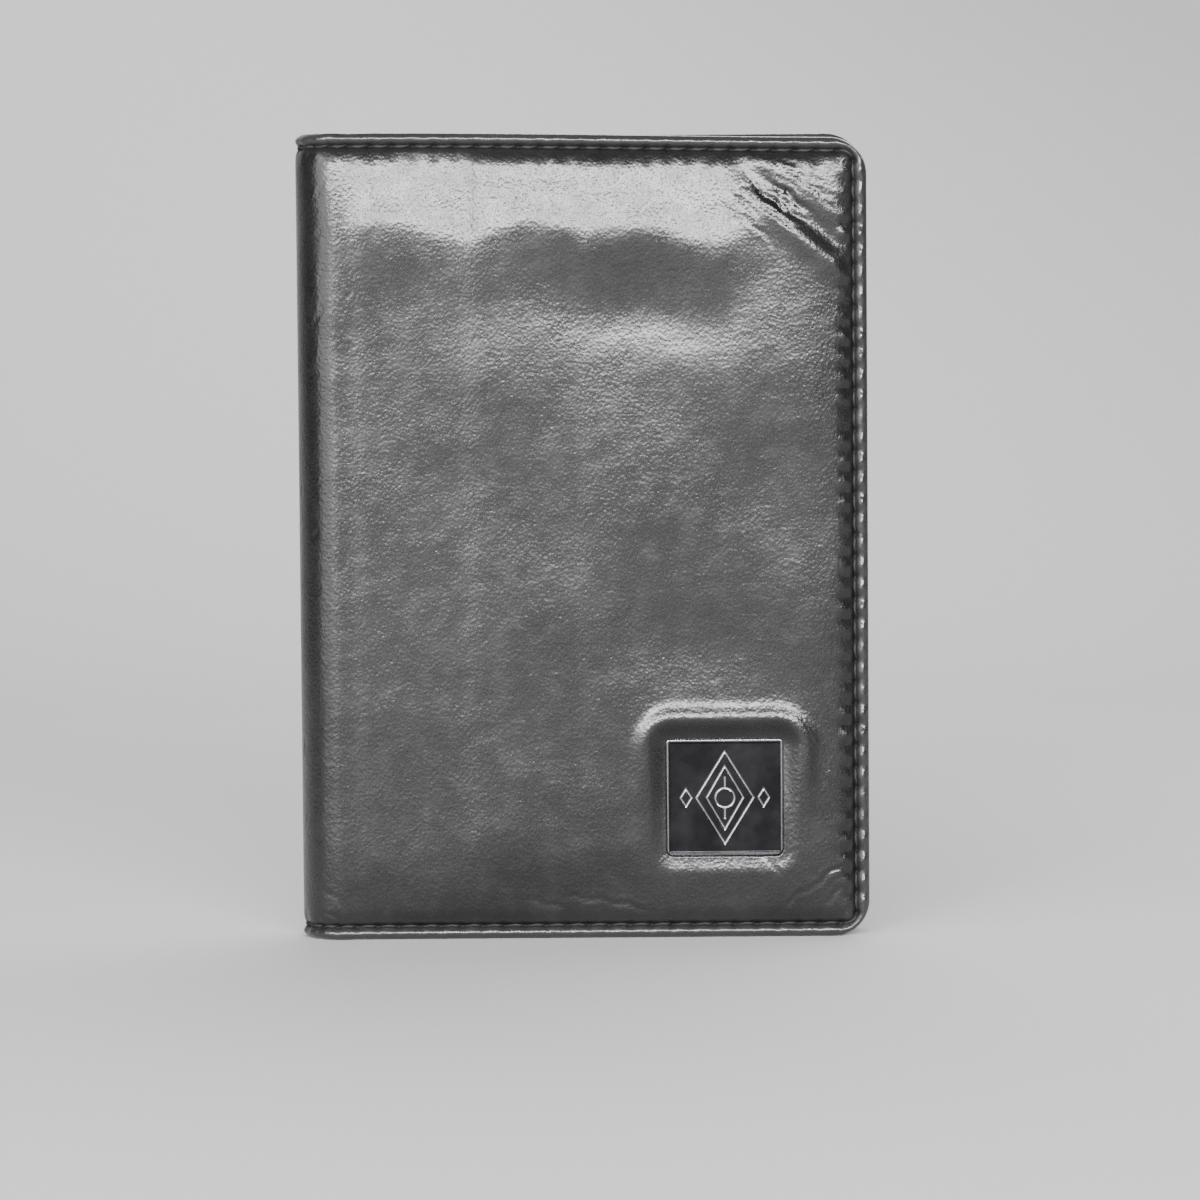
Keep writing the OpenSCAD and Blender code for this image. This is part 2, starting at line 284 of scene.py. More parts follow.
def slab(name, side, left, right, low, high, radius, rim, face, fine, step, fine_width,
         extra=((), ()), open_left=False, shift=None, seam=None, even_back=False):
    """A closed sheet-like piece: a modelled face, rolled edges and a plain hidden face.

    face(u, v, inset) gives the depth of the modelled face, and shift(u, v, t, inset) is added to
    every depth. radius is the left and the right corners' radius, and seam(u, v) is how much a
    point belongs to a seam's groove. With even_back the hidden face has a grid of its own, so that
    it can be cut like the modelled one; otherwise it is made of long strips.
    """
    a_lines = lines(left, right, rim[0], fine, step, fine_width, extra[0], open_left)
    b_lines = lines(low, high, rim[0], fine, step, fine_width, extra[1])
    a, b = np.meshgrid(a_lines, b_lines, indexing="ij")
    u, v, t, inset = ring_map(a, b, left, right, low, high, radius, rim, open_left)
    order = np.argsort(rim[0])
    path_depth = np.interp(t, rim[0][order], rim[2][order])
    depth = np.where(t >= rim[0][0], face(u, v, inset), path_depth)
    if shift is not None:
        depth = depth + shift(u, v, t, inset)
    na, nb = a.shape
    index = np.arange(na * nb).reshape(na, nb)
    points = place(side, u.ravel(), v.ravel(), depth.ravel())
    near_edge = np.clip(1 - inset / EDGE_WEAR_AND_RIM_HIGHLIGHT_WIDTH, 0, 1).ravel()
    faces = quads(index)
    if even_back:
        across = (u[:, :1] - u[0, 0]) / (u[-1, 0] - u[0, 0])
        up = (v[:1] - v[0, 0]) / (v[0, -1] - v[0, 0])
        back_u = (u[:1] + (u[-1:] - u[:1]) * across)[1:-1, 1:-1].ravel()
        back_v = (v[:, :1] + (v[:, -1:] - v[:, :1]) * up)[1:-1, 1:-1].ravel()
        points = np.concatenate([points, place(side, back_u, back_v, 0 * back_u + rim[2][-1])])
        near_edge = np.append(near_edge, 0 * back_u)
        index = index.copy()
        index[1:-1, 1:-1] = na * nb + np.arange(back_u.size).reshape(na - 2, nb - 2)
        faces += quads(index)
    else:
        for i in range(1, na - 2):
            faces.append([index[i, 0], index[i, -1], index[i + 1, -1], index[i + 1, 0]])
        faces.append([index[1, 0], *index[0, :], index[1, -1]])
        faces.append([index[-2, -1], *index[-1, ::-1], index[-2, 0]])
    obj = new_object(name, points, faces)
    store(obj, "edge", near_edge)
    # The seam attribute marks the groove, which the leather material fills with painted shade.
    if seam is not None:
        store(obj, "seam", (seam(u, v) * (t >= rim[0][0])).ravel())
    return obj


def store(obj, attribute, values):
    """Keeps a number for each point, for the materials to read."""
    layer = obj.data.attributes.new(attribute, "FLOAT", "POINT")
    layer.data.foreach_set("value", np.asarray(values, np.float32))


# ---- The seam round a cover ----

SEAM_S = LENGTH - SEAM_INSET         # the seam's free side
SEAM_CORNER_S = SEAM_S - SEAM_CORNER_R
SEAM_LOW = SEAM_INSET + SEAM_CORNER_R
SEAM_ARC = SEAM_CORNER_R * math.pi / 2
SEAM_UP = HEIGHT - 2 * SEAM_LOW
SEAM_LENGTH = 2 * SEAM_CORNER_S + 2 * SEAM_ARC + SEAM_UP
STITCHES = round(SEAM_LENGTH / STITCH_PITCH)
PITCH = SEAM_LENGTH / STITCHES


def seam_point(p):
    """s, z and direction of the seam at length p from the spine's foot."""
    if p < SEAM_CORNER_S:
        return p, SEAM_INSET, 0.0
    p -= SEAM_CORNER_S
    if p < SEAM_ARC:
        angle = p / SEAM_CORNER_R
        return (SEAM_CORNER_S + SEAM_CORNER_R * math.sin(angle),
                SEAM_LOW - SEAM_CORNER_R * math.cos(angle), angle)
    p -= SEAM_ARC
    if p < SEAM_UP:
        return SEAM_S, SEAM_LOW + p, math.pi / 2
    p -= SEAM_UP
    if p < SEAM_ARC:
        angle = p / SEAM_CORNER_R
        return (SEAM_CORNER_S + SEAM_CORNER_R * math.cos(angle),
                HEIGHT - SEAM_LOW + SEAM_CORNER_R * math.sin(angle), math.pi / 2 + angle)
    p -= SEAM_ARC
    return SEAM_CORNER_S - p, HEIGHT - SEAM_INSET, math.pi


def seam_length_at(s, z):
    """Length along the seam of the place on it nearest to a sheet point."""
    right = s - SEAM_CORNER_S
    below, above = SEAM_LOW - z, z - (HEIGHT - SEAM_LOW)
    low_arc = SEAM_CORNER_S + SEAM_CORNER_R * np.arctan2(np.maximum(right, 0), np.maximum(below, 1e-9))
    up = SEAM_CORNER_S + SEAM_ARC + np.clip(z - SEAM_LOW, 0, SEAM_UP)
    high_start = SEAM_CORNER_S + SEAM_ARC + SEAM_UP
    high_arc = high_start + SEAM_CORNER_R * np.arctan2(np.maximum(above, 0), np.maximum(right, 1e-9))
    along_high = high_start + SEAM_ARC + SEAM_CORNER_S - s
    on_side = right > np.maximum(below, above)
    value = np.where(z < HEIGHT / 2, s, along_high)
    value = np.where(on_side | (right > 0), up, value)
    value = np.where((right > 0) & (below > 0), low_arc, value)
    return np.where((right > 0) & (above > 0), high_arc, value)


def seam_inset_at(s, z):
    """Distance inside the seam line: negative between the seam and the edge."""
    return rounded_inset(s, z - HEIGHT / 2, SEAM_S, HEIGHT / 2 - SEAM_INSET, SEAM_CORNER_R)


# ---- Relief of the outer leather ----

broad = Waves(seed=11, length=26)
middling = Waves(seed=12, length=9)
short = Waves(seed=13, length=3.2)


def crease(x, z, start, end, width, deep, bend=0.0):
    """A fine fold from start to end, fading at both ends, with a low lip on each side."""
    ax, az = start
    dx, dz = end[0] - ax, end[1] - az
    length = math.hypot(dx, dz)
    along = ((x - ax) * dx + (z - az) * dz) / length
    across = ((x - ax) * dz - (z - az) * dx) / length
    t = np.clip(along / length, 0, 1)
    across = across + bend * np.sin(t * math.pi) + 0.22 * np.sin(along * 1.7 + ax)
    fade = smooth(along, -width, 0.3 * length) * (1 - smooth(along, 0.7 * length, length + width))
    lip = hill(np.abs(across), 2.1 * width, 0.9 * width)
    return deep * fade * (hill(across, 0, width) - 0.45 * lip)


def edge_depth(s):
    """Depth of the border: nearer the surface round the spine, which has no padding."""
    return EDGE_DEPTH - SPINE_LIFT * (1 - smooth(s, BEND - 6.0, BEND + 5.0))


def padded_face(s, z):
    """Depth of a cover's outer face inside its seam, before wear and prints."""
    inside = seam_inset_at(s, z)
    free = SEAM_S - s
    ends = np.minimum(z, HEIGHT - z) - SEAM_INSET
    stuffed = smooth(s, 2.0, BEND + 5.0)
    step = dome(inside, 2.6) * (0.35 + 0.65 * stuffed)
    crown = dome(ends, 11.0) * dome(free, 9.0) * stuffed
    return edge_depth(s) - STEP_RISE * step - (EDGE_DEPTH - STEP_RISE - PAD_DEPTH) * crown


def border_and_seam(s, z):
    """The seam's groove with a hole between every two stitches, puckers beside it and a soft bead."""
    inside = seam_inset_at(s, z)
    p = seam_length_at(s, z)
    from_hole = np.abs((p / PITCH + 0.5) % 1 - 0.5) * PITCH
    groove = 0.26 * hill(inside, 0, 0.42)
    hole = 0.42 * hill(inside, 0, 0.45) * hill(from_hole, 0, 0.4)
    pull = 0.07 + 0.1 * smooth(s, SEAM_S - 4, SEAM_S - 1)
    pull = pull * (0.8 + 0.35 * np.sin(p * 0.37) + 0.25 * np.sin(p * 0.83 + 1))
    beside = hill(inside, -0.85, 0.55) + 0.9 * hill(inside, 1.2, 0.9)
    tuck = pull * np.cos(2 * math.pi * p / PITCH) * beside
    bead = -0.2 * hill(inside, -1.0, 0.5)
    return groove + hole + tuck + bead


def front_relief(x, z):
    """Prints, folds and swellings of the front cover. x is the distance from the spine's outside."""
    # The ridge along the top, where the contents end: it falls off softly except at its middle.
    crest = HEIGHT - 14.0 + 0.8 * np.cos((x - 14.5) * 0.37) + 0.7 * np.sin(x * 0.19 + 0.6)
    band = smooth(x, 4, 12) * (1 - smooth(x, 58, 66))
    below_crest = 3.4 + 3.4 * (1 - hill(x, 47, 12))
    depth = -0.46 * band * hill(z, crest, np.where(z > crest, 3.4, below_crest))
    # The hollow under the ridge.
    depth += 0.62 * band * hill(z, crest - 10.2, 5.0) * (0.06 + 0.94 * hill(x, 49, 12))
    # Prints of the mouths of two card slots.
    for mouth, deep in ((24.0, 0.3), (39.4, 0.24)):
        past_mouth = smooth(x, mouth - 2.0, mouth + 2.0) * (1 - smooth(x, mouth + 3, mouth + 13))
        depth -= deep * past_mouth * smooth(z, 7, 16)
        depth += 0.09 * hill(x, mouth, 1.0) * smooth(z, HEIGHT - 16, HEIGHT - 12)
    # The long hollow next to the spine, a swelling at the free side and a dent above the badge.
    depth += 0.14 * hill(x, 17.5, 6.5) * smooth(z, 4, 14)
    depth -= 0.34 * hill(x, 61, 13) * hill(z, 75, 15)
    depth += 0.25 * hill(x, 51, 11) * hill(z, 40, 5)
    return depth


def badge_swelling(x, z):
    """Leather pulled down round the badge and pushed up a little further out."""
    px, pz = x - (BADGE_X - SPINE_X), z - BADGE_Z
    out = -rounded_inset(px, pz, BADGE_HALF, BADGE_HALF, 1.0)
    upper = smooth(pz, -7, 10)
    dip = (0.38 + 0.47 * upper) * (1 - smooth(out, -0.2, 2.4))
    under = (1.0 - 0.45 * upper) * (1 - smooth(out, -0.45, 0.05))
    crest = (0.02 + 0.6 * upper) * hill(out, 2.9, 1.4)
    return dip + under - crest


SMALL_CREASES = (                     # start, end and depth, in x and z
    ((68.9, 5.8), (76.2, 11.0), 0.14), ((71.5, 4.4), (76.6, 8.0), 0.12),
    ((66.0, 4.2), (70.5, 6.9), 0.08), ((30.5, 5.5), (38, 3.4), 0.1),
    ((35.0, 6.1), (49, 3.6), 0.12), ((44.0, 4.6), (49.5, 3.1), 0.08),
    ((1.9, 4.5), (6.2, 1.9), 0.1), ((2.6, 7.5), (7.0, 3.6), 0.08),
    ((62.5, 11.5), (66, 8.6), 0.08),
)


def corner_folds(x, z):
    """Creases where the leather has been bent: mostly at the top free corner.

    A slanting valley and a ridge under it cross that corner, with a bundle of fine creases.
    """
    valley = hill((x - 67.5) * 0.64 + (z - 100.5) * 0.77, 0, 1.9)
    ridge = hill((x - 70.5) * 0.6 + (z - 95.2) * 0.8, 0, 1.7)
    depth = 0.5 * valley * smooth(x, 57, 64) * (1 - smooth(x, 73, 76.5))
    depth -= 0.5 * ridge * smooth(x, 61, 69) * (1 - smooth(x, 74, 77))
    rng = np.random.default_rng(5)
    for k in range(13):
        off = (k - 6) * 0.52 + rng.uniform(-0.25, 0.25)
        start_x = 59.5 + rng.uniform(0, 6) + off * 0.6
        start_z = HEIGHT - 4.2 + off * 0.8 - rng.uniform(0, 3)
        reach = rng.uniform(6, 13)
        end = (start_x + reach * 0.78, start_z - reach * 0.63)
        width = rng.uniform(0.19, 0.3)
        deep = rng.uniform(0.1, 0.24)
        bend = rng.uniform(-0.7, 0.7)
        depth += crease(x, z, (start_x, start_z), end, width, deep, bend)
    for start, end, deep in SMALL_CREASES:
        depth += crease(x, z, start, end, 0.26, deep, 0.4)
    return depth


def spine_folds(s, z, seed):
    """Short slanting creases where the leather turns into the spine, and a long soft one beside it."""
    depth = 0.1 * hill(s, BEND + 1.2, 1.3) - 0.08 * hill(s, BEND - 2.5, 2.2)
    rng = np.random.default_rng(seed)
    for k in range(26):
        z0 = rng.uniform(4, HEIGHT - 4)
        s0 = rng.uniform(0.5, BEND + 1.5)
        slant = rng.uniform(-1.2, 1.2)
        reach = rng.uniform(1.6, 4.5)
        width = rng.uniform(0.2, 0.3)
        deep = rng.uniform(0.03, 0.08)
        end = (s0 + reach * 0.35, z0 + slant + reach)
        depth = depth + crease(s, z, (s0, z0), end, width, deep)
    return depth


BACK_CREASES = (                      # start and end, in x and z
    ((60, 100), (73, 90)), ((63, 103), (74, 96)), ((64, 8), (75, 17)), ((20, 6), (34, 4)),
    ((8, 60), (14, 74)),
)


def outer_depth(side, s, z):
    """Depth of a cover's outer face. x is the distance from the spine's outside."""
    x = np.where(s < BEND, SKIN * (1 - np.cos(np.clip(s, 0, BEND) / SKIN)), s - BEND + SKIN)
    inner = dome(seam_inset_at(s, z), 3.0)
    blend = inner * smooth(s, 0.0, 3.0)
    uneven = 0.08 * broad(x + 90 * side, z) + 0.014 * middling(x + 40 * side, z)
    uneven = uneven + 0.006 * short(x, z + 30 * side)
    depth = padded_face(s, z) + border_and_seam(s, z) + blend * uneven
    depth = depth + blend * spine_folds(s, z, 20 + side)
    if side == FRONT:
        depth = depth + inner * (front_relief(x, z) + corner_folds(x, z)) + badge_swelling(x, z)
    else:
        for start, end in BACK_CREASES:
            depth = depth + inner * crease(x, z, start, end, 0.3, 0.1, 0.7)
    return depth


def badge_lines(centre):
    """Close grid lines at the badge's sides."""
    offsets = (-2.2, -1.6, -1.1, -0.7, -0.4, -0.2, 0, 0.15, 0.3, 0.5, 0.8)
    return [centre + sign * (BADGE_HALF - o) for sign in (-1, 1) for o in offsets]


def edge_thickness(s):
    """Thickness of the turned edge: thinner round the spine, where there is no board."""
    return SPINE_THICK + (EDGE_THICK - SPINE_THICK) * smooth(s, BEND - 1.5, BEND + 1.5)


def outer_leather(side):
    """The leather of one cover and of the half of the spine next to it."""
    rim = roll(ROLL_R, EDGE_THICK, EDGE_DEPTH, turn=1, end=3.0)
    extra = (badge_lines(BADGE_S), badge_lines(BADGE_Z)) if side == FRONT else ((), ())

    def face(u, v, inset):
        return outer_depth(side, u, v)

    def shift(u, v, t, inset):
        """Carries the face's relief round the edge, and thins the edge round the spine."""
        turned = (1 - np.cos(np.clip(1 - t / ROLL_R, 0, 1) * math.pi)) / 2
        on_rim = (t < rim[0][0]) * smooth(t, rim[0][0] - ROLL_R * 2.2, rim[0][0])
        raised = (edge_depth(u) - EDGE_DEPTH) * (t < rim[0][0]) * (1 - turned)
        pressed = on_rim * (outer_depth(side, u, v) - edge_depth(u)) * 0.9
        return raised + pressed - turned * (EDGE_THICK - edge_thickness(u))

    def seam(u, v):
        return hill(seam_inset_at(u, v), 0, 0.5)

    obj = slab(SIDE_NAMES[side] + "_leather", side, 0, LENGTH, 0, HEIGHT, (0.0, CORNER_R), rim, face,
               fine=0.16, step=0.4, fine_width=3.4, extra=extra, open_left=True, shift=shift, seam=seam)
    clean(obj)
    return obj


def lining(side):
    """The fabric inside one cover and half of the spine."""
    rim = roll(LINING_THICK / 2, LINING_THICK, 0, turn=-1, end=1.0, steps=4)
    ripple = Waves(seed=31 + side, length=6)

    def face(u, v, inset):
        return 0.03 * ripple(u, v) * smooth(inset, 0, 2)

    def shift(u, v, t, inset):
        return EDGE_DEPTH + edge_thickness(u) + LINING_THICK

    obj = slab(SIDE_NAMES[side] + "_lining_fabric", side, 0, LENGTH - LINING_INSET, LINING_INSET,
               HEIGHT - LINING_INSET, (0.0, CORNER_R - LINING_INSET), rim, face,
               fine=0.5, step=1.1, fine_width=3.0, open_left=True, shift=shift)
    clean(obj)
    return obj


def depths(node, side):
    """The least and the greatest depth of a CAD node."""
    low, high = cad_box(node)
    return sorted((SKIN - side * low.y, SKIN - side * high.y))


def leather_panel(name, node, side, radius, mouth, seed, grid=0.6, puff=0.025, notch=0.0, seam=None,
                  card=0.0):
    """A thin panel that fills its CAD node's box.

    mouth is True where its left edge is a pocket's mouth: that edge is folded, creased and a
    little thicker. puff is how uneven the panel is, notch the depth of the thumb notch in the
    mouth, seam the inset of a sewn groove, and card the height of the cards that have left their
    print in the leather.
    """
    low, high = cad_box(node)
    outer, inner = depths(node, side)
    thick = inner - outer
    rim = roll(thick / 2, thick, inner, turn=-1, end=thick / 2 + 0.6, steps=6)
    left, right = sheet_s(low.x), sheet_s(high.x)
    uneven = Waves(seed=seed, length=13)
    fine = Waves(seed=seed + 50, length=3.5)
    middle = (low.z + high.z) / 2

    def face(u, v, inset):
        body = puff * (uneven(u, v) + 0.1 * fine(u, v)) * smooth(inset, 0, 4)
        depth = inner + body
        from_mouth = u - left
        if mouth:
            depth = depth + 0.15 * hill(from_mouth, 0.9, 0.8) - 0.19 * hill(from_mouth, 2.1, 0.28)
            depth = depth - 0.04 * smooth(from_mouth, 2.4, 3.2)
        if card:
            from_end = card / 2 - np.abs(v - middle) + 0.3 * fine(u, v)
            depth = depth + 0.13 * smooth(from_end, -1.2, 0.8) * smooth(right - u, 2.0, 3.5)
        if seam is not None:
            depth = depth - 0.12 * hill(inset, seam, 0.35) * smooth(from_mouth, 0.2, 1.0)
        return depth

    obj = slab(name, side, left, right, low.z, high.z, radius, rim, face,
               fine=0.25, step=grid, fine_width=2.6, even_back=notch > 0)
    if notch:
        cut_notch(obj, side, low.x, middle, notch, right - left)
    clean(obj)
    return obj


def cut_notch(obj, side, mouth_x, middle, deep, width):
    """Draws the mouth's edge back in a shallow curve for a thumb."""
    for vertex in obj.data.vertices:
        x, z = vertex.co.x / MM, vertex.co.z / MM
        off = abs(z - middle) / NOTCH_HALF
        if off < 1:
            dip = deep * math.sqrt(1 - off * off)
            reach = min(1.0, max(0.0, 1 - (x - mouth_x) / (0.6 * width)))
            vertex.co.x += dip * reach * MM


def gusset(name, node, run):
    """A leather strip folded once, inwards. run is "bottom", "top" or "side"."""
    low, high = cad_box(node)
    steps = 110
    t = np.linspace(0, 1, 25)
    deep = (high.z - low.z if run != "side" else high.x - low.x) - GUSSET_HALF_T
    y = high.y - 0.2 - (high.y - low.y - 0.4) * t
    inset = GUSSET_HALF_T + (deep - GUSSET_HALF_T) * (1 - np.abs(2 * t - 1) ** 1.25)
    tangent = np.stack([np.gradient(y), np.gradient(inset)], -1)
    tangent /= np.linalg.norm(tangent, axis=1)[:, None]
    normal = np.stack([-tangent[:, 1], tangent[:, 0]], -1)
    centre = np.stack([y, inset], -1)
    ring = np.concatenate([centre + GUSSET_HALF_T * normal, (centre - GUSSET_HALF_T * normal)[::-1]])
    ring[:, 0] = np.clip(ring[:, 0], low.y, high.y)
    ring[:, 1] = np.maximum(ring[:, 1], 0)
    start, stop = (low.z, high.z) if run == "side" else (low.x, high.x)
    along = np.linspace(start, stop, steps)
    ripple = Waves(seed=len(name), length=7)
    points = []
    for place_along in along:
        wave = 0.12 * ripple(place_along + 0 * ring[:, 0], ring[:, 0] * 2)
        held = np.clip(ring[:, 1] / deep, 0, 1)
        inset_here = ring[:, 1] - np.abs(wave) * held
        level = np.full_like(wave, place_along)
        if run == "side":
            row = (high.x - inset_here, ring[:, 0], level)
        elif run == "bottom":
            row = (level, ring[:, 0], low.z + inset_here)
        else:
            row = (level, ring[:, 0], high.z - inset_here)
        points.append(np.stack(row, -1))
    obj = new_object(name, np.concatenate(points), tube_faces(steps, len(ring)))
    store(obj, "edge", np.zeros(steps * len(ring)))
    clean(obj)
    return obj


def tube_faces(rows, columns, first=0):
    """Quads between rings of points, and a face at each end."""
    faces = []
    for i in range(rows - 1):
        for j in range(columns):
            k = (j + 1) % columns
            a, b = first + i * columns, first + (i + 1) * columns
            faces.append([a + j, b + j, b + k, a + k])
    last = first + (rows - 1) * columns
    faces.append([first + j for j in range(columns)])
    faces.append([last + j for j in reversed(range(columns))])
    return faces


# ---- Thread ----

def stitch_points(side, centre_line, outward, radius, rows, columns):
    """Rings of one stitch. centre_line holds sheet points and depths; the thread has two plies."""
    points = place(side, centre_line[:, 0], centre_line[:, 1], centre_line[:, 2])
    tangent = np.gradient(points, axis=0)
    tangent /= np.linalg.norm(tangent, axis=1)[:, None]
    lifted = place(side, centre_line[:, 0], centre_line[:, 1], centre_line[:, 2] - outward)
    up = lifted - points
    up -= (up * tangent).sum(1)[:, None] * tangent
    up /= np.linalg.norm(up, axis=1)[:, None]
    across = np.cross(tangent, up)
    angle = np.linspace(0, 2 * math.pi, columns, endpoint=False)
    along = np.linspace(0, 1, rows)[:, None]
    ply = 1 + 0.2 * np.cos(2 * angle[None, :] - along * 2 * math.pi * 1.6)
    taper = 0.72 + 0.28 * np.sin(along * math.pi) ** 0.5
    size = radius * ply * taper
    ring = (size * np.cos(angle))[:, :, None] * across[:, None, :]
    ring = ring + (size * np.sin(angle))[:, :, None] * up[:, None, :]
    return (points[:, None, :] + ring).reshape(-1, 3)


def join_stitches(name, stitches, rows, columns):
    """One object of many stitches, each given by its rings of points."""
    faces = []
    for k in range(len(stitches)):
        faces += tube_faces(rows, columns, k * rows * columns)
    obj = new_object(name, np.concatenate(stitches), faces)
    clean(obj, weld=0.0005)
    return obj


def seam_thread(name, side, surface, outward, rows, columns, sink=0.42):
    """The stitches of one cover's seam, on the face whose depth surface(s, z) gives.

    outward is 1 on an outer face and -1 on an inner one, and sink is how far the ends go in.
    """
    rng = np.random.default_rng(7 + side)
    stitches = []
    half = PITCH * 0.44
    for k in range(STITCHES):
        middle = (k + 0.5) * PITCH
        offset = np.linspace(-half, half, rows)
        s, z, _ = np.array([seam_point(middle + o) for o in offset]).T
        slant = rng.uniform(0.03, 0.1)
        heading = seam_point(middle)[2]
        s = s - math.sin(heading) * slant * offset / half
        z = z + math.cos(heading) * slant * offset / half
        level = surface(s, z)
        lift = THREAD_R * rng.uniform(0.55, 0.85) * (1 - np.abs(offset / half) ** 2.6)
        depth = level.mean() - outward * (lift - sink * np.abs(offset / half) ** 4)
        depth = depth + outward * 0.06
        line = np.stack([s, z, depth], -1)
        stitches.append(stitch_points(side, line, outward, THREAD_R, rows, columns))
    return join_stitches(name, stitches, rows, columns)


def inner_depth(side, s):
    """Depth of what shows inside a cover at its seam."""
    depth = EDGE_DEPTH + edge_thickness(s) + LINING_THICK
    nodes = ("rear_slot_strip", "middle_slot_strip", "front_slot_panel") if side == FRONT \
        else ("slip_pocket_panel",)
    for node in nodes:
        depth = np.where(s > sheet_s(cad_box(node)[0].x), depths(node, side)[1], depth)
    return depth


def pocket_thread(name):
    """Stitches round the card pocket's three closed sides."""
    low, high = cad_box("card_pocket_panel")
    inset = 1.2
    level = depths("card_pocket_panel", BACK)[1]
    left, right = sheet_s(low.x) + 0.8, sheet_s(high.x) - inset
    bottom, top = low.z + inset, high.z - inset
    corners = ((left, bottom), (right, bottom), (right, top), (left, top))
    stitches = []
    rows, columns = 7, 8
    for start, end in zip(corners, corners[1:]):
        start, end = np.array(start), np.array(end)
        count = round(np.linalg.norm(end - start) / PITCH)
        for k in range(count):
            t = (k + 0.5 + np.linspace(-0.42, 0.42, rows)) / count
            flat = start + (end - start) * t[:, None]
            bow = np.abs(np.linspace(-1, 1, rows))
            depth = level + 0.1 * (1 - bow ** 2.6) - 0.3 * bow ** 4
            line = np.column_stack([flat, depth])
            stitches.append(stitch_points(BACK, line, -1, 0.16, rows, columns))
    return join_stitches(name, stitches, rows, columns)


# ---- Badge ----

def emblem(x, z):
    """Distance to the nearest engraved line of the emblem: lozenges, a ring and two short bars."""
    distances = []
    for centre, half_w, half_h in ((0.0, 3.9, 6.3), (0.0, 2.5, 4.3), (5.3, 0.75, 1.2)):
        slope = math.hypot(1 / half_w, 1 / half_h)
        off = np.abs(x) if centre == 0 else np.abs(np.abs(x) - centre)
        distances.append(np.abs((off / half_w + np.abs(z) / half_h - 1) / slope))
    distances.append(np.abs(np.hypot(x, z) - 1.3))
    bar = (np.abs(z) > 1.3) & (np.abs(z) < 2.9)
    distances.append(np.where(bar, np.abs(x), 9.0))
    return np.minimum.reduce(distances)


def badge():
    """The square plate: a bevelled rim, a flat polished face and the engraved emblem."""
    rim = roll(0.12, 0.6, BADGE_TOP, turn=1, end=0.6, steps=6)

    def face(u, v, inset):
        x, z = u - BADGE_S, v - BADGE_Z
        groove = 0.07 * (1 - smooth(emblem(x, z), 0.04, 0.15))
        raised_rim = 0.05 * smooth(inset, 0.0, 0.15) - 0.09 * smooth(inset, 0.42, 0.62)
        return BADGE_TOP - raised_rim + groove

    obj = slab("badge", FRONT, BADGE_S - BADGE_HALF, BADGE_S + BADGE_HALF, BADGE_Z - BADGE_HALF,
               BADGE_Z + BADGE_HALF, (0.5, 0.5), rim, face, fine=0.07, step=0.068, fine_width=1.2)
    engraved = [1 - float(smooth(emblem(v.co.x / MM - BADGE_X, v.co.z / MM - BADGE_Z), 0.06, 0.18))
                for v in obj.data.vertices]
    store(obj, "engraved", engraved)
    clean(obj, weld=0.001)
    return obj


def padding(side):
    """The crowned foam under a cover's leather."""
    low, high = cad_box(SIDE_NAMES[side] + "_cover_foam")
    outer, inner = depths(SIDE_NAMES[side] + "_cover_foam", side)
    rim = roll((inner - outer) / 2, inner - outer, outer, turn=1, end=1.2, steps=5)

    def face(u, v, inset):
        dent = 0.5 * (1 - smooth(-rounded_inset(u - BADGE_S, v - BADGE_Z, 8, 8, 1), 0, 1.5))
        return outer - 0.3 * dome(inset, 9) + dent * (side == FRONT)

    obj = slab(SIDE_NAMES[side] + "_padding", side, sheet_s(low.x), sheet_s(high.x), low.z, high.z,
               (1.0, 1.0), rim, face, fine=0.4, step=1.0, fine_width=2.0)
    clean(obj)
    return obj


# ---- Materials ----

